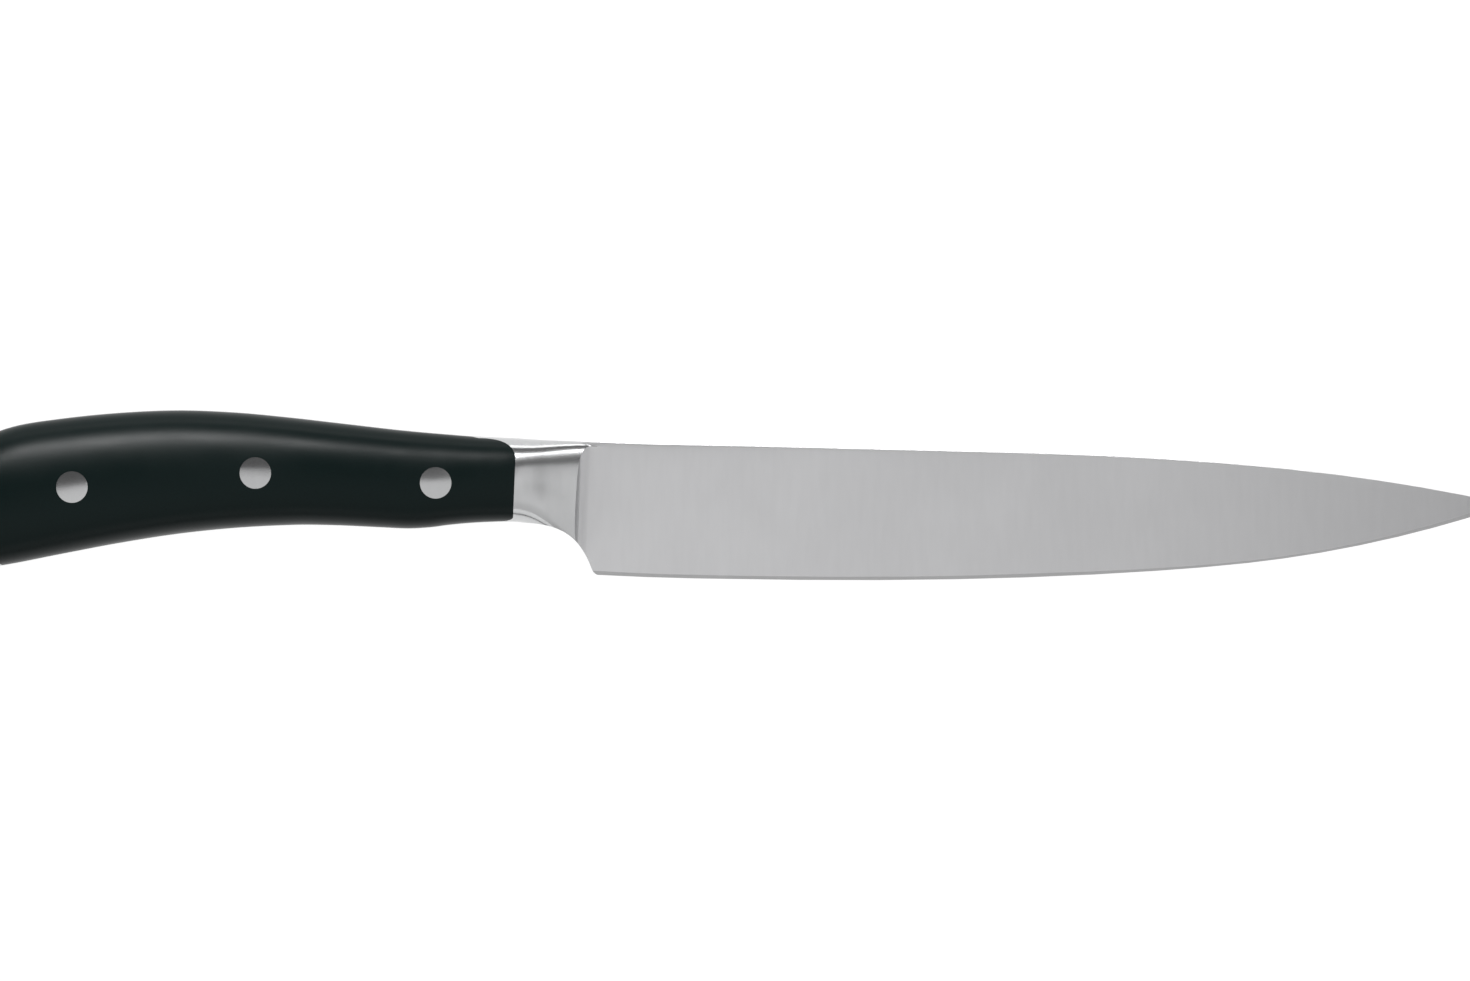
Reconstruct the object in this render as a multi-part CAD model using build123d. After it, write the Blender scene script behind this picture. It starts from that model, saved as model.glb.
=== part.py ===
from build123d import *
import math
import os

# A forged carving knife, lying on its side with the point towards +X, the
# spine towards +Y and the cutting edge towards -Y. Lengths are in millimetres.
# Everything is drawn with the mid-plane of the blade at Z = 0, with X = 0 at
# the crisp ridge between bolster and blade and Y = 0 just above the spine
# there, and is set down on Z = 0 at the end.

# Blade
blade_length = 200.0
blade_depth = 30.15
spine_start = 0.3
point_drop = 13.9
point_nose = 0.5
spine_width = 2.4
shoulder_width = 0.4
point_width = 0.6
grind_break = 100.0
bevel_angle = 17.4

# Places along the blade as shares of its length, and how far the spine has
# dropped there as shares of the point's drop
spine_shares = (
    (0.066, 0.042),
    (0.185, 0.077),
    (0.303, 0.121),
    (0.560, 0.228),
    (0.692, 0.345),
    (0.822, 0.537),
    (0.961, 0.865),
)

# Places along the blade as shares of its length, and the depth of the cutting
# edge there as shares of the blade's depth
edge_shares = (
    (-0.020, 0.945),
    (0.0225, 0.9635),
    (0.174, 0.9935),
    (0.270, 1.000),
    (0.498, 0.977),
    (0.6275, 0.932),
    (0.757, 0.849),
    (0.8865, 0.6865),
)

# Plunge, where the grinding wheel runs out against the bolster: a shallow lead
# behind the flat, then the wheel's rounded corner
plunge_run = 5.0
lead_length = 2.3
lead_radius = 16.0
plunge_radius = 3.4
plunge_lean = 2.6
root_overlap = 3.0
root_dip = 1.2

# Choil, the curved underside from the bolster to the heel
choil_start = 17.0
choil_height = 17.6
choil_pull = 11.5
heel_place = 2.83
heel_height = 27.9
heel_angle = 69.5
heel_pull = 9.8
heel_corner = 1.95
heel_corner_angle = 38.0

# Grip: bolster, scales and butt, measured back from the ridge
bolster_length = 13.7
scale_length = 112.4
butt_length = 7.6
grip_depth = 29.5
grip_width = 19.0
crown_share = 0.66
butt_rounding = 3.0

# The scales' stretch is lofted in short straight stretches, and each quarter of
# a section is made of several curves, so that it exports with few facets
stretch_length = 6.5
quarter_pieces = 4

# Sections of the grip. Each row holds the place as a share of the stretch, then
# top, bottom and half-width as shares of the grip's depth, depth and width, and
# the height of the widest line as a share of the section's own depth. The
# bolster's first rows lie ahead of the ridge, inside the root of the blade.
bolster_shares = (
    (-0.58, -0.045, -0.929, 0.122, 0.50),
    (-0.29, -0.018, -0.888, 0.147, 0.50),
    (0.0, -0.007, -0.820, 0.177, 0.50),
    (0.24, -0.002, -0.746, 0.209, 0.50),
    (0.50, 0.003, -0.668, 0.252, 0.50),
    (0.75, 0.010, -0.615, 0.304, 0.49),
)
scale_shares = (
    (0.0, 0.018, -0.596, 0.342, 0.47),
    (0.055, 0.027, -0.599, 0.366, 0.44),
    (0.095, 0.037, -0.608, 0.378, 0.42),
    (0.13, 0.048, -0.621, 0.389, 0.41),
    (0.165, 0.059, -0.638, 0.400, 0.40),
    (0.205, 0.073, -0.646, 0.412, 0.40),
    (0.25, 0.091, -0.639, 0.424, 0.39),
    (0.32, 0.122, -0.626, 0.443, 0.39),
    (0.37, 0.144, -0.620, 0.456, 0.39),
    (0.42, 0.166, -0.619, 0.467, 0.38),
    (0.53, 0.206, -0.639, 0.486, 0.37),
    (0.645, 0.224, -0.683, 0.497, 0.36),
    (0.76, 0.206, -0.751, 0.500, 0.36),
    (0.875, 0.162, -0.834, 0.497, 0.37),
    (0.968, 0.102, -0.904, 0.487, 0.38),
)
butt_share = (-0.041, -0.963, 0.458, 0.38)

# Tang and the outline of the scales
tang_width = 3.0
scale_margin = 0.4
front_slant = 0.5
front_top_run = 8.0
front_top_drop = 4.6
front_bottom_run = 4.2
front_bottom_rise = 1.1
rear_top_corner = 4.5
rear_bottom_corner = 2.8

# Rivets: a pin pressed into a barrel from the other side, heads ground flush
rivet_names = ("front", "middle", "rear")
rivet_place_shares = (0.153, 0.499, 0.851)
rivet_height_shares = (-0.310, -0.238, -0.341)
head_diameter = 6.8
head_height = 2.0
barrel_diameter = 5.0
pin_diameter = 3.2
pin_length_share = 0.86
barrel_floor = 0.3
rivet_gap = 0.3
rivet_clearance = 0.02

# How far cutting shapes reach past what they cut
overrun = 45.0

scale_front = -bolster_length
scale_rear = scale_front - scale_length
grip_rear = scale_rear - butt_length
flank_slope = (spine_width - shoulder_width) / (2 * blade_depth)


def crowned_section(place, top, bottom, half_width, widest_share):
    """Egg-shaped cross-section of the grip, made of four quarters in several pieces."""
    widest = bottom + (top - bottom) * widest_share
    crest = (place, top, 0)
    keel = (place, bottom, 0)

    def quarter(end, side):
        rise = end[1] - widest
        flank = (place, widest, side * half_width)
        near_end = (place, end[1], side * half_width * crown_share)
        near_flank = (place, widest + rise * crown_share, side * half_width)
        return Bezier(end, near_end, near_flank, flank)

    quarters = [quarter(crest, 1), quarter(keel, 1), quarter(keel, -1), quarter(crest, -1)]
    pieces = [
        curve.trim(piece / quarter_pieces, (piece + 1) / quarter_pieces)
        for curve in quarters
        for piece in range(quarter_pieces)
    ]
    return Face(Wire(pieces))


def sized_section(place, shares):
    top, bottom, half_width, widest_share = shares
    return crowned_section(
        place, top * grip_depth, bottom * grip_depth, half_width * grip_width, widest_share
    )


def grip_rows():
    """Places of the rows behind the bolster and their shares, from front to butt."""
    rows = [(scale_front - share * scale_length, rest) for share, *rest in scale_shares]
    return rows + [(grip_rear, butt_share)]


def slope_at(rows, index, column):
    """How fast one column changes along the grip at a row, from the rows beside it."""
    before, after = rows[max(index - 1, 0)], rows[min(index + 1, len(rows) - 1)]
    return (after[1][column] - before[1][column]) / (after[0] - before[0])


def shares_between(rows, index, step):
    """The section between two rows, on smooth curves through all the rows."""
    (start, low), (end, high) = rows[index], rows[index + 1]
    span = end - start
    shares = []
    for column in range(len(low)):
        rise = high[column] - low[column]
        early = slope_at(rows, index, column) * span - rise
        late = rise - slope_at(rows, index + 1, column) * span
        bend = (1 - step) * early + step * late
        shares.append(low[column] + step * rise + step * (1 - step) * bend)
    return start + step * span, shares


def scale_stretch():
    """The grip behind the bolster, in short straight stretches."""
    rows = grip_rows()
    sections = [sized_section(*rows[0])]
    for index in range(len(rows) - 1):
        count = max(round((rows[index][0] - rows[index + 1][0]) / stretch_length), 1)
        for number in range(count):
            sections.append(sized_section(*shares_between(rows, index, (number + 1) / count)))
    return loft(sections, ruled=True)


def grip_body():
    """The whole ground grip, from inside the blade's root to the rounded butt."""
    sections = [sized_section(-share * bolster_length, rest) for share, *rest in bolster_shares]
    sections.append(sized_section(*grip_rows()[0]))
    body = scale_stretch()
    butt_rim = body.faces().sort_by(Axis.X)[0].edges()
    return loft(sections) + fillet(butt_rim, butt_rounding)


def corner(start, knee, end):
    """An elliptical corner between two lines that would meet at the knee."""
    start, knee, end = Vector(start), Vector(knee), Vector(end)
    near_start = start + (knee - start) * crown_share
    near_end = end + (knee - end) * crown_share
    return Bezier(start, near_start, near_end, end)


def scale_outline():
    """Side view of the scales, a little proud of the grip behind the front corners."""

    def top_point(row):
        return (scale_front - row[0] * scale_length, row[1] * grip_depth + scale_margin)

    def bottom_point(row):
        return (scale_front - row[0] * scale_length, row[2] * grip_depth - scale_margin)

    first, last = scale_shares[0], scale_shares[-1]
    front_top = (scale_front, first[1] * grip_depth)
    front_bottom = (scale_front - front_slant, first[2] * grip_depth)
    rear_top = (scale_rear, top_point(last)[1])
    rear_bottom = (scale_rear, bottom_point(last)[1])
    # The lines start behind the front corners, so they leave out the first rows
    top_line = Spline(
        (scale_front - front_top_run, front_top[1]),
        *[top_point(row) for row in scale_shares[4:-1]],
        (scale_rear + rear_top_corner, top_point(last)[1]),
    )
    bottom_line = Spline(
        (front_bottom[0] - front_bottom_run, front_bottom[1]),
        *[bottom_point(row) for row in scale_shares[2:-1]],
        (scale_rear + rear_bottom_corner, bottom_point(last)[1]),
    )
    front_high = (scale_front, front_top[1] - front_top_drop)
    front_low = (front_bottom[0], front_bottom[1] + front_bottom_rise)
    rear_high = (scale_rear, rear_top[1] - rear_top_corner)
    rear_low = (scale_rear, rear_bottom[1] + rear_bottom_corner)
    edges = [
        top_line,
        corner(top_line @ 0, front_top, front_high),
        Line(front_high, front_low),
        corner(front_low, front_bottom, bottom_line @ 0),
        bottom_line,
        corner(bottom_line @ 1, rear_bottom, rear_low),
        Line(rear_low, rear_high),
        corner(rear_high, rear_top, top_line @ 1),
    ]
    return Face(Wire(edges))


def scale_block(side):
    """The space beside the tang that one scale is ground from."""
    outline = Pos(0, 0, side * tang_width / 2) * scale_outline()
    return extrude(outline, amount=overrun, dir=(0, 0, side))


def flank_plane(side):
    """The flat grind of the blade's heel half."""
    return Plane(origin=(0, 0, side * spine_width / 2), z_dir=(0, -flank_slope, side))


def point_plane(side):
    """The flat grind that thins the blade from the break to the point."""
    point_height = spine_width / 2 - flank_slope * point_drop
    taper = (point_height - point_width / 2) / (blade_length - grind_break)
    start = (grind_break, 0, side * spine_width / 2)
    return Plane(origin=start, z_dir=(taper, -flank_slope, side))


def spine_line():
    points = [(plunge_run, -spine_start)]
    points += [(share * blade_length, -drop * point_drop) for share, drop in spine_shares]
    points += [(blade_length, point_nose / 2 - point_drop)]
    return Spline(*points)


def blade_blank():
    """Side view of the blade, thick, with its back end dipping under the bolster."""
    spine = spine_line()
    low = -overrun
    edges = [
        Line((-root_overlap, -root_dip), spine @ 0),
        spine,
        Line(spine @ 1, (blade_length, low)),
        Line((blade_length, low), (-root_overlap, low)),
        Line((-root_overlap, low), (-root_overlap, -root_dip)),
    ]
    return extrude(Face(Wire(edges)), amount=spine_width, both=True)


def edge_wedge():
    """A shape whose underside is the two bevels that meet in the cutting edge."""
    points = [(share * blade_length, -depth * blade_depth) for share, depth in edge_shares]
    points += [(blade_length, -point_drop - point_nose / 2)]
    edge = Spline(*points)
    past_point = (blade_length + point_drop, -point_drop)
    front_top = (past_point[0], overrun)
    rear_top = ((edge @ 0).X, overrun)
    edges = [
        edge,
        Line(edge @ 1, past_point),
        Line(past_point, front_top),
        Line(front_top, rear_top),
        Line(rear_top, edge @ 0),
    ]
    face = Face(Wire(edges))
    lean = math.radians(bevel_angle)
    halves = [
        extrude(face, amount=blade_depth, dir=(0, math.cos(lean), side * math.sin(lean)))
        for side in (1, -1)
    ]
    return halves[0] + halves[1]


def ground_blade():
    """The blade as ground: two flats a side, thinned to the bevels."""
    blade = blade_blank()
    for side in (1, -1):
        blade = split(blade, bisect_by=flank_plane(side), keep=Keep.BOTTOM)
        blade = split(blade, bisect_by=point_plane(side), keep=Keep.BOTTOM)
    return blade & edge_wedge()


def plunge_cutter(side):
    """The grinding wheel's path: flat along the flank, round at the bolster."""
    lead_turn = math.asin(lead_length / lead_radius)
    lead_rise = lead_radius * (1 - math.cos(lead_turn))
    lead_end = (-lead_length, lead_rise)
    wheel_middle = (
        lead_end[0] + plunge_radius * math.sin(lead_turn),
        lead_end[1] + plunge_radius * math.cos(lead_turn),
    )
    wheel_side = (wheel_middle[0] - plunge_radius, wheel_middle[1])
    edges = [
        Line((overrun, 0), (0, 0)),
        TangentArc((0, 0), lead_end, tangent=(-1, 0)),
        TangentArc(lead_end, wheel_side, tangent=(-math.cos(lead_turn), math.sin(lead_turn))),
        Line(wheel_side, (wheel_side[0], overrun)),
        Line((wheel_side[0], overrun), (overrun, overrun)),
        Line((overrun, overrun), (overrun, 0)),
    ]
    path = extrude(Plane.XZ * Face(Wire(edges)), amount=overrun, both=True)
    flank = flank_plane(side)
    frame = Plane(origin=flank.origin + (plunge_run, 0, 0), x_dir=(1, 0, 0), z_dir=flank.z_dir)
    return frame * Rot(0, 0, -side * plunge_lean) * path


def choil_cutter():
    """What is ground away under the bolster, up to the rounded heel corner."""
    start = (-choil_start, -choil_height)
    heel = (heel_place, -heel_height)
    lean = math.radians(heel_angle)
    down = (math.cos(lean), -math.sin(lean))
    near_start = (choil_pull - choil_start, -choil_height)
    near_heel = (heel[0] - heel_pull * down[0], heel[1] - heel_pull * down[1])
    turn = math.radians(heel_corner_angle)
    toe = (heel[0] + heel_corner * math.cos(turn), heel[1] - heel_corner * math.sin(turn))
    low = -overrun
    edges = [
        Bezier(start, near_start, near_heel, heel),
        TangentArc(heel, toe, tangent=down),
        Line(toe, (toe[0], low)),
        Line((toe[0], low), (start[0], low)),
        Line((start[0], low), start),
    ]
    block = extrude(Face(Wire(edges)), amount=grip_width, both=True)
    front_of_scales = Plane(origin=(scale_front, 0, 0), z_dir=(1, 0, 0))
    return split(block, bisect_by=front_of_scales, keep=Keep.TOP)


def rivet_places():
    for name, along, up in zip(rivet_names, rivet_place_shares, rivet_height_shares):
        yield name, scale_front - along * scale_length, up * grip_depth


def rod(x, y, radius, low, high):
    """A round rod across the grip between two heights."""
    return Pos(x, y, (low + high) / 2) * Cylinder(radius, high - low)


def head_seat(grip, x, y):
    """Height of the counterbore's floor under the crown of the grip."""
    cap = grip & rod(x, y, head_diameter / 2, 0, grip_width)
    return cap.bounding_box().max.Z - head_height


def rivet_bore(x, y, seat):
    """Everything bored away for one rivet: the through hole and both counterbores."""
    hole = rod(x, y, barrel_diameter / 2 + rivet_clearance, -seat, seat)
    radius = head_diameter / 2 + rivet_clearance
    return hole + rod(x, y, radius, seat, grip_width) + rod(x, y, radius, -grip_width, -seat)


def rivet_barrel(grip, x, y, seat):
    """The hollow half, whose head is on the left side."""
    head = grip & rod(x, y, head_diameter / 2, -grip_width, -seat)
    shank = rod(x, y, barrel_diameter / 2, -seat, seat - rivet_gap)
    bore = rod(x, y, pin_diameter / 2, -seat + barrel_floor, seat)
    return head + (shank - bore)


def rivet_pin(grip, x, y, seat):
    """The solid half, whose head is on the right side."""
    head = grip & rod(x, y, head_diameter / 2, seat, grip_width)
    return head + rod(x, y, pin_diameter / 2, seat - 2 * seat * pin_length_share, seat)


def build():
    grip = grip_body()
    places = [(name, x, y, head_seat(grip, x, y)) for name, x, y in rivet_places()]
    bores = [rivet_bore(x, y, seat) for name, x, y, seat in places]

    parts = {}
    blocks = [scale_block(1), scale_block(-1)]
    forging = grip - blocks[0] - blocks[1]
    forging = forging - plunge_cutter(1) - plunge_cutter(-1)
    forging = forging + ground_blade() - choil_cutter()
    right_scale = grip & blocks[0]
    left_scale = grip & blocks[1]
    for bore in bores:
        forging = forging - bore
        right_scale = right_scale - bore
        left_scale = left_scale - bore
    parts["forged_blade"] = forging
    parts["right_scale"] = right_scale
    parts["left_scale"] = left_scale
    for name, x, y, seat in places:
        parts[name + "_rivet_barrel"] = rivet_barrel(grip, x, y, seat)
        parts[name + "_rivet_pin"] = rivet_pin(grip, x, y, seat)
    return parts


def main():
    parts = build()
    box = Compound(children=[Part() + part for part in parts.values()]).bounding_box()
    middle = box.center()
    set_down = Pos(-middle.X, -middle.Y, -box.min.Z)
    os.makedirs("parts", exist_ok=True)
    for name, part in parts.items():
        export_step(set_down * part, os.path.join("parts", name + ".step"))


main()
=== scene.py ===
import bisect
import math

import bmesh
import bpy
from bpy.props import FloatProperty, FloatVectorProperty, PointerProperty
from mathutils import Euler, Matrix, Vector


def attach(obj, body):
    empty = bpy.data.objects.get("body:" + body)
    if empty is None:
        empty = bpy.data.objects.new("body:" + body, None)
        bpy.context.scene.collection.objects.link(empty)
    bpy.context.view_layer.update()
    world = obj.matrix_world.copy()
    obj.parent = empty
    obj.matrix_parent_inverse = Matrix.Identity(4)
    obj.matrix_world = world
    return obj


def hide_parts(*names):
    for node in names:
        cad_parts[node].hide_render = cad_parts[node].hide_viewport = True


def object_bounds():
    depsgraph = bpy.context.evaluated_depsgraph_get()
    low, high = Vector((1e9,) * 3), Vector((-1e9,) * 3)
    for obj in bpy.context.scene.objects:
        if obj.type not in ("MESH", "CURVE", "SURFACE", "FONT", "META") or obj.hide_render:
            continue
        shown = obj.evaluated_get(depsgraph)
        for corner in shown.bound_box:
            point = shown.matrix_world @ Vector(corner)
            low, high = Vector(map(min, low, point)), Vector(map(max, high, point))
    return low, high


bl_info = {
    "name": "Carving Knife Finish",
    "version": (1, 0, 0),
    "blender": (4, 5, 0),
    "location": "3D View > Sidebar > Knife",
    "description": "Ground steel, moulded scales and flush rivets for a forged carving knife",
    "category": "Object",
}

# The knife lies on its left side: point towards +X, spine towards +Y, right
# side up. Everything is in metres, in the frame's own coordinates.
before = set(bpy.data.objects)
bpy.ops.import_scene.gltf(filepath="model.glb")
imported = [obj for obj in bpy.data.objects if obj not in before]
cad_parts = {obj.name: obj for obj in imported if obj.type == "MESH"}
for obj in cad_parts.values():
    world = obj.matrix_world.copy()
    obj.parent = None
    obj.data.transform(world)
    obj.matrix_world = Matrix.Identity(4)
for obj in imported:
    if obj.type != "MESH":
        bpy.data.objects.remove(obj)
cad_low, cad_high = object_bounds()
mm = 0.001

scale_nodes = ("right_scale", "left_scale")
rivet_nodes = tuple(
    place + half
    for place in ("front", "middle", "rear")
    for half in ("_rivet_pin", "_rivet_barrel")
)

# The top of the crisp ridge between bolster and blade, in the knife's middle
# plane. The grip's sections are measured from here.
ridge = Vector((-33.15, 11.7773, 9.5)) * mm
bolster_front = ridge.x

# The order of the materials on the forged piece
bolster_slot, blade_slot, edge_slot = 0, 1, 2

# Sections of the grip: place behind the ridge, then top, bottom, half-width and
# the share of the section's depth where it is widest. Lengths in millimetres.
grip_sections = (
    (7.946, -1.3275, -27.4055, 2.318, 0.50),
    (3.973, -0.531, -26.196, 2.793, 0.50),
    (0.0, -0.2065, -24.19, 3.363, 0.50),
    (-3.288, -0.059, -22.007, 3.971, 0.50),
    (-6.85, 0.0885, -19.706, 4.788, 0.50),
    (-10.275, 0.295, -18.1425, 5.776, 0.49),
    (-13.7, 0.531, -17.582, 6.498, 0.47),
    (-19.882, 0.7965, -17.6705, 6.954, 0.44),
    (-24.378, 1.0915, -17.936, 7.182, 0.42),
    (-28.312, 1.416, -18.3195, 7.391, 0.41),
    (-32.246, 1.7405, -18.821, 7.60, 0.40),
    (-36.742, 2.1535, -19.057, 7.828, 0.40),
    (-41.8, 2.6845, -18.8505, 8.056, 0.39),
    (-49.668, 3.599, -18.467, 8.417, 0.39),
    (-55.288, 4.248, -18.29, 8.664, 0.39),
    (-60.908, 4.897, -18.2605, 8.873, 0.38),
    (-73.272, 6.077, -18.8505, 9.234, 0.37),
    (-86.198, 6.608, -20.1485, 9.443, 0.36),
    (-99.124, 6.077, -22.1545, 9.50, 0.36),
    (-112.05, 4.779, -24.603, 9.443, 0.37),
    (-122.5032, 3.009, -26.668, 9.253, 0.38),
    (-133.7, -1.2095, -28.4085, 8.702, 0.38),
)

# Each quarter of a section is one curve, whose handles are this share of its
# rise and of its half-width
crown_handle = 0.66
quarter_steps = 2000

# How near a vertex and a face's middle of the CAD mesh lie to the crown that
# they belong to, and how far along it its slope is measured
crown_vertex_gap = 0.09 * mm
crown_face_gap = 0.25 * mm
crown_reach = 8 * mm
crown_facing = 0.95
slope_probe = 0.05
quarter_probe = 0.0004
quarter_margin = 0.0005

# The longest edge of a facet on the crown
forging_facet = 0.9 * mm
scale_facet = 1.5 * mm
rivet_facet = 0.5 * mm
facet_rounds = 6
weld_gap = 0.0005 * mm
cut_gap = 0.001 * mm
smooth_limit = math.radians(28)

# The spine faces up and the flats face sideways by at least these shares. Cuts
# start in front of the plunge, and run in columns and in rows at these depths
# below the spine, in millimetres.
spine_facing = 0.8
flat_facing = 0.9
flats_start = bolster_front + 2 * mm
flats_fade = 4.0 * mm
column_width = 2.5 * mm
row_depths = (0.06, 0.14, 0.25, 0.45, 0.9, 1.6, 2.6, 4.0, 6.0, 9.0, 13.0)
flat_limit = math.radians(0.1)

# How much the spine's corner and the flats below it fall away, as shares of the
# blade's own thickness, each with how far down it reaches in millimetres
spine_falls = ((0.07, 0.12), (0.06, 0.8), (0.08, 4.0))

# The whetted bevels face down by this much, and otherwise to their own side
bevel_lean = (-0.45, -0.2)
bevel_side = 0.88

# The camera looks straight down at this point beside the knife's middle
camera_spot = (0.55 * mm, 0.98 * mm)
camera_range = (0.05, 100.0)
film_width = 36.0


def colour_property(name, description, default):
    return FloatVectorProperty(
        name=name, description=description, default=default, subtype="COLOR", min=0.0, max=1.0
    )


def length_property(name, description, default):
    return FloatProperty(
        name=name, description=description, default=default, unit="LENGTH", min=0.0, precision=5
    )


def share_property(name, description, default):
    return FloatProperty(
        name=name, description=description, default=default, subtype="FACTOR", min=0.0, max=1.0
    )


class SteelFinish(bpy.types.PropertyGroup):
    """Colours and grind of the forging and the rivets."""

    blade_colour: colour_property("Blade colour", "Ground steel of the blade", (0.70, 0.70, 0.71))
    bolster_colour: colour_property(
        "Bolster colour", "Finer ground bolster, butt and rivets", (0.55, 0.555, 0.56)
    )
    # The whetted bevels are the blade's steel painted darker: a painted shade for the dark line that
    # the edge shows.
    edge_painted_shade_colour: colour_property(
        "Edge painted shade colour", "Whetted bevels of the cutting edge", (0.52, 0.52, 0.525)
    )
    blade_roughness: share_property("Blade roughness", "How dull the blade's grind is", 0.42)
    bolster_roughness: share_property("Bolster roughness", "How dull the bolster's grind is", 0.24)
    rivet_roughness: share_property("Rivet roughness", "How dull the rivet heads are", 0.16)
    grind_spread: share_property("Grind spread", "How far reflections spread along the knife", 0.8)
    line_spacing: length_property("Line spacing", "Distance between the belt's lines", 0.16 * mm)
    line_reach: length_property("Line reach", "How far one line of the belt runs", 14 * mm)
    line_depth: length_property("Line depth", "Depth of the belt's lines", 0.01 * mm)
    line_strength: share_property("Line strength", "How clearly the lines turn the light", 0.25)
    line_tone: share_property("Line tone", "Brightness of the darkest streaks", 0.975)
    mark_size: length_property("Mark size", "Size of the handling marks", 22 * mm)
    mark_dullness: share_property("Mark dullness", "Roughness that a handling mark adds", 0.04)


class GripFinish(bpy.types.PropertyGroup):
    """Colour and surface of the moulded scales."""

    plastic_colour: colour_property("Plastic colour", "Moulded scales", (0.0008, 0.0050, 0.0048))
    grain_size: length_property("Grain size", "Size of the mould's fine texture", 0.25 * mm)
    grain_depth: length_property("Grain depth", "Depth of the mould's texture", 0.01 * mm)
    grain_strength: share_property("Grain strength", "How clearly the grain turns the light", 0.2)
    grain_tone: share_property("Grain tone", "How much the grain shades the colour", 0.15)
    sheen_roughness: share_property("Roughness", "How dull the polished scales are", 0.31)
    sheen_level: share_property("Sheen level", "How strongly the polished scales reflect", 0.13)
    mark_size: length_property("Mark size", "Size of the handling marks", 14 * mm)
    mark_dullness: share_property("Mark dullness", "Roughness that a handling mark adds", 0.05)


class StudioSetup(bpy.types.PropertyGroup):
    """Camera, floor and lamps."""

    view_width: length_property("View width", "Width of the picture at the knife", 317.5 * mm)
    camera_height: length_property("Camera height", "Distance of the camera from the knife", 8.0)
    floor_size: length_property("Floor size", "Width of the pale floor", 60.0)
    room_light: share_property("Room light", "Strength of the plain light from all sides", 0.12)


def new_group(name, inputs, outputs):
    """An empty shader node group with named sockets. Returns tree, input and output nodes."""
    tree = bpy.data.node_groups.new(name, "ShaderNodeTree")
    for label, kind, default in inputs:
        socket = tree.interface.new_socket(name=label, in_out="INPUT", socket_type=kind)
        if default is not None:
            socket.default_value = default
    for label, kind in outputs:
        tree.interface.new_socket(name=label, in_out="OUTPUT", socket_type=kind)
    return tree, tree.nodes.new("NodeGroupInput"), tree.nodes.new("NodeGroupOutput")


def place(tree, kind, settings=(), **sockets):
    """Adds a node, sets its settings, and fills or links its inputs by name."""
    node = tree.nodes.new(kind)
    for key, value in dict(settings).items():
        setattr(node, key, value)
    for key, value in sockets.items():
        fill(tree, node.inputs[key.replace("_", " ")], value)
    return node


def fill(tree, socket, value):
    """Links a socket to another one, or sets its value."""
    if isinstance(value, bpy.types.NodeSocket):
        tree.links.new(value, socket)
    else:
        socket.default_value = value


def math_node(tree, operation, first, second=None, third=None):
    """One math operation on up to three values. Returns its output."""
    node = tree.nodes.new("ShaderNodeMath")
    node.operation = operation
    for socket, value in zip(node.inputs, (first, second, third)):
        if value is not None:
            fill(tree, socket, value)
    return node.outputs[0]


def ramp_between(tree, value, low, high, out_low=0.0, out_high=1.0):
    """Smoothly maps low..high of a value to out_low..out_high."""
    node = tree.nodes.new("ShaderNodeMapRange")
    node.interpolation_type = "SMOOTHSTEP"
    ends = {"From Min": low, "From Max": high, "To Min": out_low, "To Max": out_high}
    for key, item in {"Value": value, **ends}.items():
        fill(tree, node.inputs[key], item)
    return node.outputs["Result"]


def grind_lines_group():
    """Fine lines that a grinding belt leaves across the knife."""
    tree, given, result = new_group(
        "Grind Lines",
        (
            ("Vector", "NodeSocketVector", None),
            ("Spacing", "NodeSocketFloat", 0.16 * mm),
            ("Reach", "NodeSocketFloat", 14 * mm),
        ),
        (("Height", "NodeSocketFloat"), ("Tone", "NodeSocketFloat")),
    )
    parts = place(tree, "ShaderNodeSeparateXYZ", Vector=given.outputs["Vector"])
    across = math_node(tree, "DIVIDE", parts.outputs["X"], given.outputs["Spacing"])
    along = math_node(tree, "DIVIDE", parts.outputs["Y"], given.outputs["Reach"])
    around = math_node(tree, "DIVIDE", parts.outputs["Z"], given.outputs["Reach"])
    spread = place(tree, "ShaderNodeCombineXYZ", X=across, Y=along, Z=around)
    fine = place(
        tree, "ShaderNodeTexNoise", Vector=spread.outputs[0], Scale=1.0, Detail=3.0, Roughness=0.6
    )
    wider = place(tree, "ShaderNodeVectorMath", {"operation": "MULTIPLY"})
    fill(tree, wider.inputs[0], spread.outputs[0])
    wider.inputs[1].default_value = (0.1, 1.4, 1.4)
    broad = place(
        tree, "ShaderNodeTexNoise", Vector=wider.outputs[0], Scale=1.0, Detail=2.0, Roughness=0.5
    )
    fill(tree, result.inputs["Height"], fine.outputs[0])
    fill(tree, result.inputs["Tone"], broad.outputs[0])
    return tree


def handling_group():
    """Soft smudges where hands and cloths have touched the surface."""
    tree, given, result = new_group(
        "Handling Marks",
        (("Vector", "NodeSocketVector", None), ("Size", "NodeSocketFloat", 12 * mm)),
        (("Mask", "NodeSocketFloat"),),
    )
    per_size = math_node(tree, "DIVIDE", 1.0, given.outputs["Size"])
    clouds = place(
        tree,
        "ShaderNodeTexNoise",
        Vector=given.outputs["Vector"],
        Scale=per_size,
        Detail=4.0,
        Distortion=0.4,
    )
    fill(tree, result.inputs["Mask"], ramp_between(tree, clouds.outputs[0], 0.35, 0.7))
    return tree


def add_group(tree, group, **sockets):
    """Places a node group in a material and fills its inputs."""
    node = tree.nodes.new("ShaderNodeGroup")
    node.node_tree = group
    for key, value in sockets.items():
        fill(tree, node.inputs[key], value)
    return node


def new_material(name):
    """A material. Returns it, its tree, its shader and the object's own coordinates."""
    material = bpy.data.materials.new(name)
    material.use_nodes = True
    tree = material.node_tree
    shader = tree.nodes["Principled BSDF"]
    where = tree.nodes.new("ShaderNodeTexCoord").outputs["Object"]
    return material, tree, shader, where


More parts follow.
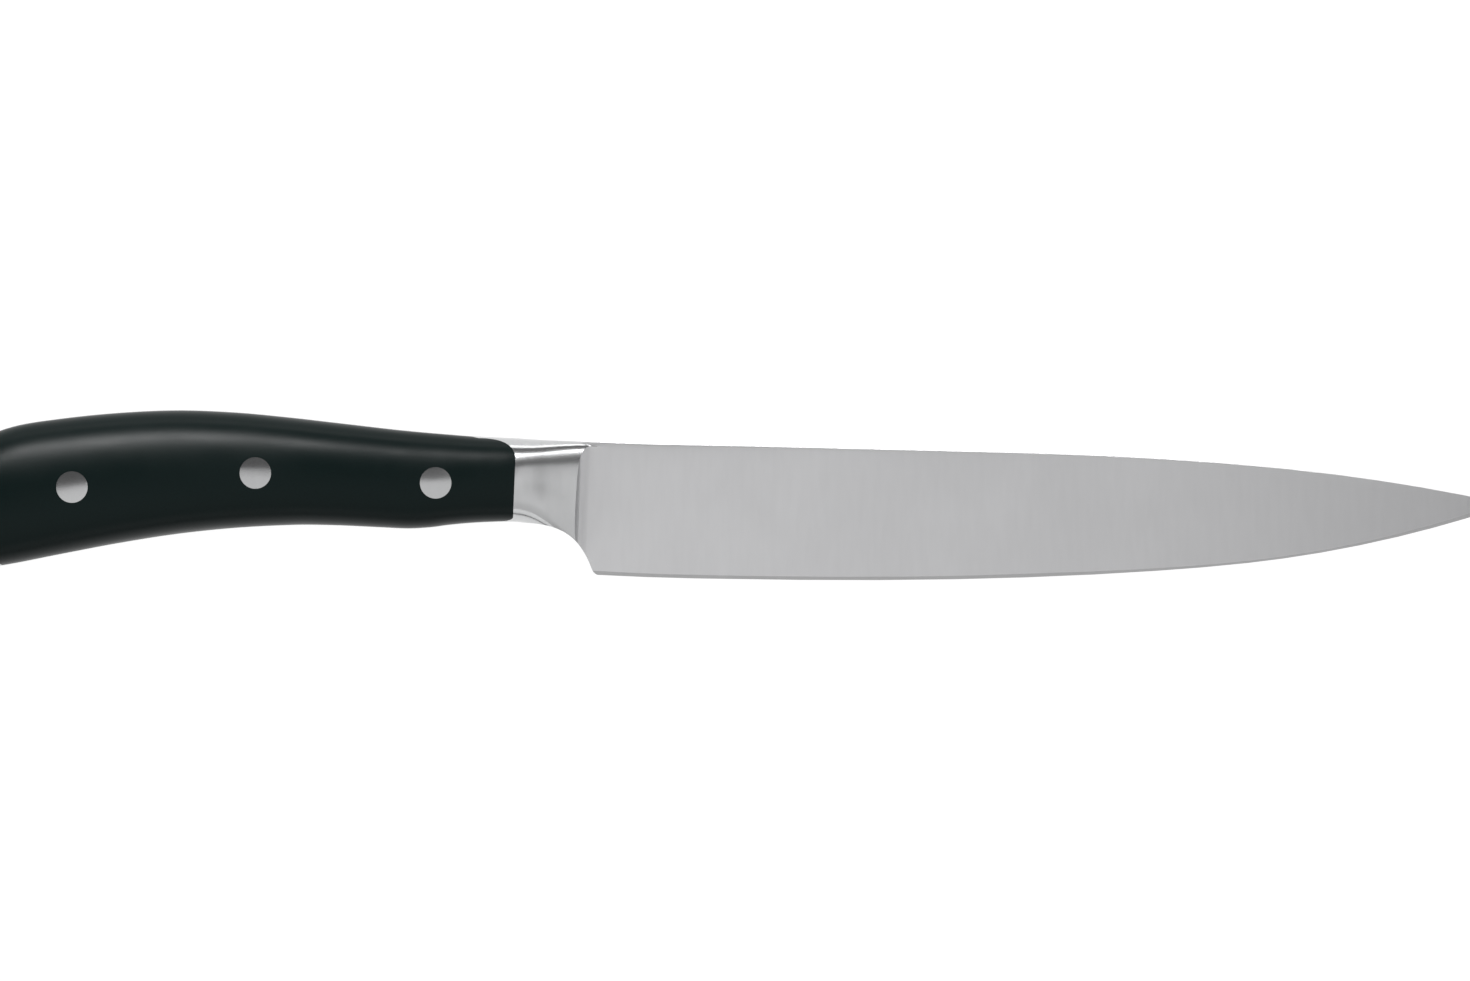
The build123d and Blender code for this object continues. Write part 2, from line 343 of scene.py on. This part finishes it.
def lay_tangent(tree, shader):
    """The grind runs across the knife, so reflections spread along it."""
    along = place(tree, "ShaderNodeCombineXYZ", X=1.0, Y=0.0, Z=0.0)
    turned = place(
        tree,
        "ShaderNodeVectorTransform",
        {"vector_type": "VECTOR", "convert_from": "OBJECT", "convert_to": "WORLD"},
        Vector=along.outputs[0],
    )
    fill(tree, shader.inputs["Tangent"], turned.outputs[0])


def ground_steel(name, colour, roughness, finish, groups):
    """Steel with a belt's fine lines across the knife and faint handling marks."""
    material, tree, shader, where = new_material(name)
    lines = add_group(
        tree, groups["lines"], Vector=where, Spacing=finish.line_spacing, Reach=finish.line_reach
    )
    marks = add_group(tree, groups["marks"], Vector=where, Size=finish.mark_size)
    tone = ramp_between(tree, lines.outputs["Tone"], 0.2, 0.8, finish.line_tone, 1.0)
    shade = place(tree, "ShaderNodeVectorMath", {"operation": "SCALE"})
    fill(tree, shade.inputs[0], (*colour,))
    fill(tree, shade.inputs["Scale"], tone)
    fill(tree, shader.inputs["Base Color"], shade.outputs[0])
    rough = math_node(
        tree, "MULTIPLY_ADD", marks.outputs["Mask"], finish.mark_dullness, roughness
    )
    fill(tree, shader.inputs["Roughness"], rough)
    bump = place(
        tree,
        "ShaderNodeBump",
        Strength=finish.line_strength,
        Distance=finish.line_depth,
        Height=lines.outputs["Height"],
    )
    fill(tree, shader.inputs["Normal"], bump.outputs[0])
    shader.inputs["Metallic"].default_value = 1.0
    shader.inputs["Anisotropic"].default_value = finish.grind_spread
    lay_tangent(tree, shader)
    return material


def moulded_plastic(finish, groups):
    """Black plastic with the mould's fine grain, polished along with the steel."""
    material, tree, shader, where = new_material("Moulded Plastic")
    marks = add_group(tree, groups["marks"], Vector=where, Size=finish.mark_size)
    grain = place(tree, "ShaderNodeTexNoise", Vector=where, Scale=1 / finish.grain_size, Detail=3.0)
    pale, dark = 1 + finish.grain_tone, 1 - finish.grain_tone
    tint = ramp_between(tree, grain.outputs[0], 0.3, 0.7, dark, pale)
    shade = place(tree, "ShaderNodeVectorMath", {"operation": "SCALE"})
    fill(tree, shade.inputs[0], (*finish.plastic_colour,))
    fill(tree, shade.inputs["Scale"], tint)
    fill(tree, shader.inputs["Base Color"], shade.outputs[0])
    rough = math_node(
        tree, "MULTIPLY_ADD", marks.outputs["Mask"], finish.mark_dullness, finish.sheen_roughness
    )
    fill(tree, shader.inputs["Roughness"], rough)
    bump = place(
        tree,
        "ShaderNodeBump",
        Strength=finish.grain_strength,
        Distance=finish.grain_depth,
        Height=grain.outputs[0],
    )
    fill(tree, shader.inputs["Normal"], bump.outputs[0])
    shader.inputs["Metallic"].default_value = 0.0
    shader.inputs["Specular IOR Level"].default_value = finish.sheen_level
    return material


def section_slope(index, column):
    """How fast one column of the sections changes along the grip at a row."""
    before = grip_sections[max(index - 1, 0)]
    after = grip_sections[min(index + 1, len(grip_sections) - 1)]
    return (after[column] - before[column]) / (after[0] - before[0])


def section_at(x):
    """Top, bottom, half-width and widest height of the grip at a place, in millimetres."""
    index = 0
    while index < len(grip_sections) - 2 and x < grip_sections[index + 1][0]:
        index += 1
    low, high = grip_sections[index], grip_sections[index + 1]
    span = high[0] - low[0]
    step = (x - low[0]) / span
    values = []
    for column in range(1, 5):
        rise = high[column] - low[column]
        early = section_slope(index, column) * span - rise
        late = rise - section_slope(index + 1, column) * span
        bend = (1 - step) * early + step * late
        values.append(low[column] + step * rise + step * (1 - step) * bend)
    top, bottom, half_width, share = values
    return top, bottom, half_width, bottom + (top - bottom) * share


def quarter_point(step):
    """A point of the crown's quarter, drawn with a rise and a half-width of one."""
    rest = 1 - step
    rise = rest**3 + 3 * rest**2 * step + 3 * rest * step**2 * crown_handle
    width = 3 * rest**2 * step * crown_handle + 3 * rest * step**2 + step**3
    return rise, width


def quarter_angle(step):
    """The angle at which a point of the quarter is seen from its middle."""
    rise, width = quarter_point(step)
    return math.atan2(width, rise)


quarter_angles = [quarter_angle(index / quarter_steps) for index in range(quarter_steps + 1)]


def quarter_step(angle):
    """Where on the quarter a line from its middle at this angle meets it."""
    index = min(max(bisect.bisect(quarter_angles, angle), 1), quarter_steps)
    low, high = quarter_angles[index - 1], quarter_angles[index]
    return (index - 1 + (angle - low) / (high - low)) / quarter_steps


def crown_point(x, step, upper, side):
    """A point of the ground crown, in millimetres from the ridge."""
    top, bottom, half_width, widest = section_at(x)
    rise, width = quarter_point(step)
    reach = (top if upper else bottom) - widest
    return Vector((x, widest + reach * rise, side * half_width * width))


def on_crown(point):
    """The crown's point and normal nearest to a point of the frame, and the distance to it."""
    local = (point - ridge) / mm
    top, bottom, half_width, widest = section_at(local.x)
    upper = local.y > widest
    side = 1 if local.z > 0 else -1
    reach = (top if upper else bottom) - widest
    angle = math.atan2(abs(local.z) / half_width, (local.y - widest) / reach)
    step = min(max(quarter_step(angle), quarter_margin), 1 - quarter_margin)

    def near(shift, turn):
        return crown_point(local.x + shift, step + turn, upper, side)

    here = near(0, 0)
    along = near(slope_probe, 0) - near(-slope_probe, 0)
    around = near(0, quarter_probe) - near(0, -quarter_probe)
    normal = along.cross(around).normalized()
    if normal.dot(here - Vector((local.x, widest, 0))) < 0:
        normal = -normal
    gap = (local - here).dot(normal)
    return ridge + (local - gap * normal) * mm, normal, abs(gap) * mm


def crown_faces(form):
    """Faces that lie on the ground crown of the grip."""
    near = {}
    for vertex in form.verts:
        behind = vertex.co.x < bolster_front + crown_reach
        near[vertex] = behind and on_crown(vertex.co)[2] < crown_vertex_gap
    found = []
    for face in form.faces:
        if all(near[vertex] for vertex in face.verts):
            _, normal, gap = on_crown(face.calc_center_median())
            if gap < crown_face_gap and normal.dot(face.normal) > crown_facing:
                found.append(face)
    return found


def refine_crown(form, facet):
    """Splits the crown's faces down to a facet's length, and lays them on the crown."""
    mark = form.faces.layers.int.new("crown")
    for face in crown_faces(form):
        face[mark] = 1
    laid = set()
    for _ in range(facet_rounds):
        faces = [face for face in form.faces if face[mark]]
        long_edges = {edge for face in faces for edge in face.edges if edge.calc_length() > facet}
        if not long_edges:
            break
        bmesh.ops.subdivide_edges(form, edges=list(long_edges), cuts=1)
        wide = [face for face in form.faces if len(face.verts) > 3]
        bmesh.ops.triangulate(form, faces=wide)
        marked = {vertex for face in form.faces if face[mark] for vertex in face.verts}
        for vertex in marked - laid:
            vertex.co = on_crown(vertex.co)[0]
            laid.add(vertex)
        form.normal_update()
    return mark


def cut_across(form, faces, point, direction):
    """Cuts these faces along a plane."""
    parts = {part for face in faces for part in (face, *face.edges, *face.verts)}
    bmesh.ops.bisect_plane(
        form, geom=list(parts), dist=cut_gap, plane_co=point, plane_no=direction
    )


def blade_faces(form):
    """Faces of the blade in front of the plunge."""
    return [face for face in form.faces if face.calc_center_median().x > flats_start]


def spine_line(form):
    """The spine's height at each of its vertices, by their place along the knife."""
    line = {}
    for face in blade_faces(form):
        if face.normal.y > spine_facing:
            for vertex in face.verts:
                key = round(vertex.co.x, 6)
                line[key] = max(vertex.co.y, line.get(key, -1.0))
    return line


def line_height(line, places, x):
    """The height of a line between its known places."""
    index = min(max(bisect.bisect(places, x), 1), len(places) - 1)
    low, high = places[index - 1], places[index]
    share = min(max((x - low) / (high - low), 0.0), 1.0)
    return line[low] + (line[high] - line[low]) * share


def ease_spine(form):
    """Rounds the spine a little, and bellies the flats under it, as a polished blade has them."""
    flats = [face for face in blade_faces(form) if abs(face.normal.z) > flat_facing]
    flat_edges = {edge for face in flats for edge in face.edges}
    bmesh.ops.dissolve_limit(form, angle_limit=flat_limit, edges=list(flat_edges))
    column = flats_start + column_width
    while column < cad_high.x - column_width / 5:
        cut_across(form, blade_faces(form), (column, 0, 0), (1, 0, 0))
        column += column_width
    line = spine_line(form)
    places = sorted(line)
    for vertex in form.verts:
        vertex.co.y -= line_height(line, places, vertex.co.x)
    for depth in row_depths:
        cut_across(form, blade_faces(form), (0, -depth * mm, 0), (0, 1, 0))
    middle = ridge.z
    for vertex in form.verts:
        if vertex.co.x > flats_start:
            depth = max(-vertex.co.y / mm, 0.0)
            rounding = sum(fall * math.exp(-depth / reach) for fall, reach in spine_falls)
            fade = min((vertex.co.x - flats_start) / flats_fade, 1.0)
            vertex.co.z = middle + (vertex.co.z - middle) * (1 - rounding * fade)
    for vertex in form.verts:
        vertex.co.y += line_height(line, places, vertex.co.x)
    form.normal_update()


def corner_normals(form, mark):
    """A normal for each corner: exact on the crown, elsewhere smooth up to a limit by area.

    The whetted edge keeps a crisp border with the flats above it.
    """
    limit = math.cos(smooth_limit)
    areas = {face: face.calc_area() for face in form.faces}
    exact = {}
    normals = []
    for face in form.faces:
        for corner in face.loops:
            vertex = corner.vert
            if face[mark]:
                if vertex not in exact:
                    exact[vertex] = on_crown(vertex.co)[1]
                normals.append(exact[vertex])
            else:
                total = Vector((0, 0, 0))
                whetted = face.material_index == edge_slot
                for other in vertex.link_faces:
                    alike = (other.material_index == edge_slot) == whetted
                    if alike and other.normal.dot(face.normal) > limit:
                        total += other.normal * areas[other]
                normals.append(total.normalized())
    return normals


def mark_grinds(form, mark):
    """Gives blade and whetted edge their own materials; the whetted edge's material is darker, a
    painted shade.
    """
    for face in form.faces:
        if not face[mark] and face.calc_center_median().x > bolster_front:
            leaning = bevel_lean[0] < face.normal.y < bevel_lean[1]
            whetted = leaning and abs(face.normal.z) > bevel_side
            face.material_index = edge_slot if whetted else blade_slot


def finished_piece(node, name, materials, facet):
    """A visible piece made from a CAD node's mesh, with a smooth crown."""
    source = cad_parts[node]
    form = bmesh.new()
    form.from_mesh(source.data)
    form.transform(source.matrix_world)
    bmesh.ops.remove_doubles(form, verts=form.verts, dist=weld_gap)
    if node == "forged_blade":
        ease_spine(form)
        bmesh.ops.triangulate(form, faces=form.faces)
    mark = refine_crown(form, facet)
    for face in form.faces:
        face.material_index = bolster_slot
    if node == "forged_blade":
        mark_grinds(form, mark)
    normals = corner_normals(form, mark)
    mesh = bpy.data.meshes.new(name)
    form.to_mesh(mesh)
    form.free()
    for name_left in ("custom_normal", "crown"):
        if name_left in mesh.attributes:
            mesh.attributes.remove(mesh.attributes[name_left])
    for face in mesh.polygons:
        face.use_smooth = True
    mesh.normals_split_custom_set(normals)
    for material in materials:
        mesh.materials.append(material)
    piece = bpy.data.objects.new(name, mesh)
    bpy.context.scene.collection.objects.link(piece)
    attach(piece, "root")
    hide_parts(node)
    return piece


def build_groups():
    """The shared effects, built the first time that they are needed."""
    if "Grind Lines" not in bpy.data.node_groups:
        grind_lines_group()
    if "Handling Marks" not in bpy.data.node_groups:
        handling_group()
    return {
        "lines": bpy.data.node_groups["Grind Lines"],
        "marks": bpy.data.node_groups["Handling Marks"],
    }


class KNIFE_OT_forging(bpy.types.Operator):
    """Finish the forged blade, bolster, tang and butt"""

    bl_idname = "knife.forging"
    bl_label = "Forging"

    def execute(self, context):
        finish, groups = context.scene.knife_steel, build_groups()
        grinds = (
            ("Bolster Steel", finish.bolster_colour, finish.bolster_roughness),
            ("Blade Steel", finish.blade_colour, finish.blade_roughness),
            # The whetted edge has the blade's grind in a darker colour, which is a painted shade.
            ("Whetted Edge", finish.edge_painted_shade_colour, finish.blade_roughness),
        )
        materials = [ground_steel(*grind, finish, groups) for grind in grinds]
        finished_piece("forged_blade", "ground_forging", materials, forging_facet)
        return {"FINISHED"}


class KNIFE_OT_scales(bpy.types.Operator):
    """Finish the two moulded scales"""

    bl_idname = "knife.scales"
    bl_label = "Scales"

    def execute(self, context):
        plastic = moulded_plastic(context.scene.knife_grip, build_groups())
        for node in scale_nodes:
            finished_piece(node, "polished_" + node, (plastic,), scale_facet)
        return {"FINISHED"}


class KNIFE_OT_rivets(bpy.types.Operator):
    """Finish the three two-piece rivets"""

    bl_idname = "knife.rivets"
    bl_label = "Rivets"

    def execute(self, context):
        finish = context.scene.knife_steel
        steel = ground_steel(
            "Rivet Steel", finish.bolster_colour, finish.rivet_roughness, finish, build_groups()
        )
        for node in rivet_nodes:
            finished_piece(node, "ground_" + node, (steel,), rivet_facet)
        return {"FINISHED"}


def pale_floor(size):
    """A white table that camera and mirrors see as plain white, with a soft shadow."""
    mesh = bpy.data.meshes.new("floor")
    half = size / 2
    corners = [(-half, -half, 0), (half, -half, 0), (half, half, 0), (-half, half, 0)]
    mesh.from_pydata(corners, [], [(0, 1, 2, 3)])
    floor = bpy.data.objects.new("floor", mesh)
    bpy.context.scene.collection.objects.link(floor)
    material = bpy.data.materials.new("Pale Floor")
    material.use_nodes = True
    tree = material.node_tree
    tree.nodes.clear()
    matt = place(tree, "ShaderNodeBsdfDiffuse", Color=(0.8, 0.8, 0.8, 1))
    faint = place(tree, "ShaderNodeBsdfDiffuse", Color=(0.12, 0.12, 0.12, 1))
    white = place(tree, "ShaderNodeEmission", Color=(1, 1, 1, 1), Strength=0.96)
    seen = tree.nodes.new("ShaderNodeAddShader")
    tree.links.new(faint.outputs[0], seen.inputs[0])
    tree.links.new(white.outputs[0], seen.inputs[1])
    path = tree.nodes.new("ShaderNodeLightPath")
    direct = math_node(tree, "MAXIMUM", path.outputs["Is Camera Ray"], path.outputs["Is Glossy Ray"])
    direct = math_node(tree, "MAXIMUM", direct, path.outputs["Is Transmission Ray"])
    either = place(tree, "ShaderNodeMixShader", Fac=direct)
    tree.links.new(matt.outputs[0], either.inputs[1])
    tree.links.new(seen.outputs[0], either.inputs[2])
    out = tree.nodes.new("ShaderNodeOutputMaterial")
    tree.links.new(either.outputs[0], out.inputs["Surface"])
    mesh.materials.append(material)


# Panels hang level over the knife, turned a little, and their upper edges make
# one line. Each has its start and end along that line, its near and far edge
# across it, and its brightness.
panel_height = 0.28
panel_turn = 17.8
panel_plan = (
    ("panel_rear", -0.30, -0.125, -0.20, 0.078, 0.80),
    ("panel_middle", -0.125, -0.062, -0.20, 0.078, 0.70),
    ("panel_grip", -0.062, 0.03, -0.20, 0.045, 0.70),
    ("panel_front", 0.03, 0.12, -0.20, 0.078, 0.98),
    ("panel_swell", 0.12, 0.19, -0.045, 0.078, 0.72),
    ("panel_point", 0.19, 0.26, -0.03, 0.078, 0.15),
    ("panel_low_rear", -0.30, 0.03, -0.50, -0.20, 0.62),
    ("panel_low_front", 0.03, 0.26, -0.50, -0.20, 0.76),
)

# Strips and softboxes face a point of the knife: centre, that point's place
# along the knife, width and depth, and brightness
strip_plan = (
    ("strip_rear", (-0.19, 0.268, 0.285), -0.19, (0.14, 0.06), 44.0),
    ("strip_middle", (-0.08, 0.268, 0.285), -0.08, (0.08, 0.05), 36.0),
    ("strip_front", (0.15, 0.32, 0.285), 0.15, (0.20, 0.04), 4.0),
    ("box_spine", (0.0, 1.5, 0.18), 0.0, (1.6, 0.25), 3.2),
    ("box_edge", (0.0, -1.3, 0.45), 0.0, (1.6, 0.5), 1.0),
    ("box_right", (1.3, -0.2, 0.45), 0.0, (1.0, 0.6), 1.0),
    ("box_left", (-1.3, -0.2, 0.45), 0.0, (1.0, 0.6), 1.7),
)


def softbox(name, place_at, aim, size, turn, radiance):
    """A rectangular lamp of a plain radiance, unseen by the camera itself."""
    light = bpy.data.lights.new(name, "AREA")
    light.shape = "RECTANGLE"
    light.size, light.size_y = size
    light.energy = radiance * math.pi * size[0] * size[1]
    lamp = bpy.data.objects.new(name, light)
    lamp.location = place_at
    facing = (Vector(aim) - Vector(place_at)).to_track_quat("-Z", "Y")
    lamp.rotation_euler = (facing @ Euler((0, 0, turn)).to_quaternion()).to_euler()
    lamp.visible_camera = False
    bpy.context.scene.collection.objects.link(lamp)
    return lamp


def hang_panels():
    """The panels over the knife."""
    turn = math.radians(panel_turn)
    along = Vector((math.cos(turn), math.sin(turn), 0))
    across = Vector((-math.sin(turn), math.cos(turn), 0))
    for name, start, end, near, far, radiance in panel_plan:
        floor_point = along * (start + end) / 2 + across * (near + far) / 2
        hung = floor_point + Vector((0, 0, panel_height))
        softbox(name, hung, floor_point, (end - start, far - near), turn, radiance)


def place_strips():
    """The strips and boxes round the knife."""
    for name, centre, aimed_at, size, radiance in strip_plan:
        softbox(name, centre, (aimed_at, 0, 0), size, 0, radiance)


class KNIFE_OT_studio(bpy.types.Operator):
    """Set up the floor, the lamps and the camera"""

    bl_idname = "knife.studio"
    bl_label = "Studio"

    def execute(self, context):
        scene = context.scene
        setup = scene.knife_studio
        pale_floor(setup.floor_size)
        world = bpy.data.worlds.new("Studio")
        world.use_nodes = True
        room = world.node_tree.nodes["Background"]
        room.inputs["Color"].default_value = (1, 1, 1, 1)
        room.inputs["Strength"].default_value = setup.room_light
        scene.world = world
        hang_panels()
        place_strips()

        camera_data = bpy.data.cameras.new("camera")
        camera = bpy.data.objects.new("camera", camera_data)
        scene.collection.objects.link(camera)
        scene.camera = camera
        camera_data.sensor_width = film_width
        camera_data.lens = film_width * setup.camera_height / setup.view_width
        camera_data.clip_start, camera_data.clip_end = camera_range
        middle = (cad_low.z + cad_high.z) / 2
        camera.location = (*camera_spot, middle + setup.camera_height)
        scene.view_settings.view_transform = "Standard"
        return {"FINISHED"}


class KNIFE_PT_panel(bpy.types.Panel):
    """Lists the knife's pieces and their settings"""

    bl_label = "Carving Knife"
    bl_idname = "KNIFE_PT_panel"
    bl_space_type = "VIEW_3D"
    bl_region_type = "UI"
    bl_category = "Knife"

    def draw(self, context):
        layout = self.layout
        scene = context.scene
        for settings in (scene.knife_steel, scene.knife_grip, scene.knife_studio):
            box = layout.box()
            for name in settings.__annotations__:
                box.prop(settings, name)
        for operator in steps:
            layout.operator(operator.bl_idname)


setting_classes = (SteelFinish, GripFinish, StudioSetup)
steps = (KNIFE_OT_forging, KNIFE_OT_scales, KNIFE_OT_rivets, KNIFE_OT_studio)


def register():
    for item in (*setting_classes, *steps, KNIFE_PT_panel):
        bpy.utils.register_class(item)
    bpy.types.Scene.knife_steel = PointerProperty(type=SteelFinish)
    bpy.types.Scene.knife_grip = PointerProperty(type=GripFinish)
    bpy.types.Scene.knife_studio = PointerProperty(type=StudioSetup)


def unregister():
    del bpy.types.Scene.knife_studio
    del bpy.types.Scene.knife_grip
    del bpy.types.Scene.knife_steel
    for item in reversed((*setting_classes, *steps, KNIFE_PT_panel)):
        bpy.utils.unregister_class(item)


def main():
    """Runs the steps in order."""
    register()
    bpy.ops.knife.forging()
    bpy.ops.knife.scales()
    bpy.ops.knife.rivets()
    bpy.ops.knife.studio()


if __name__ == "__main__":
    main()
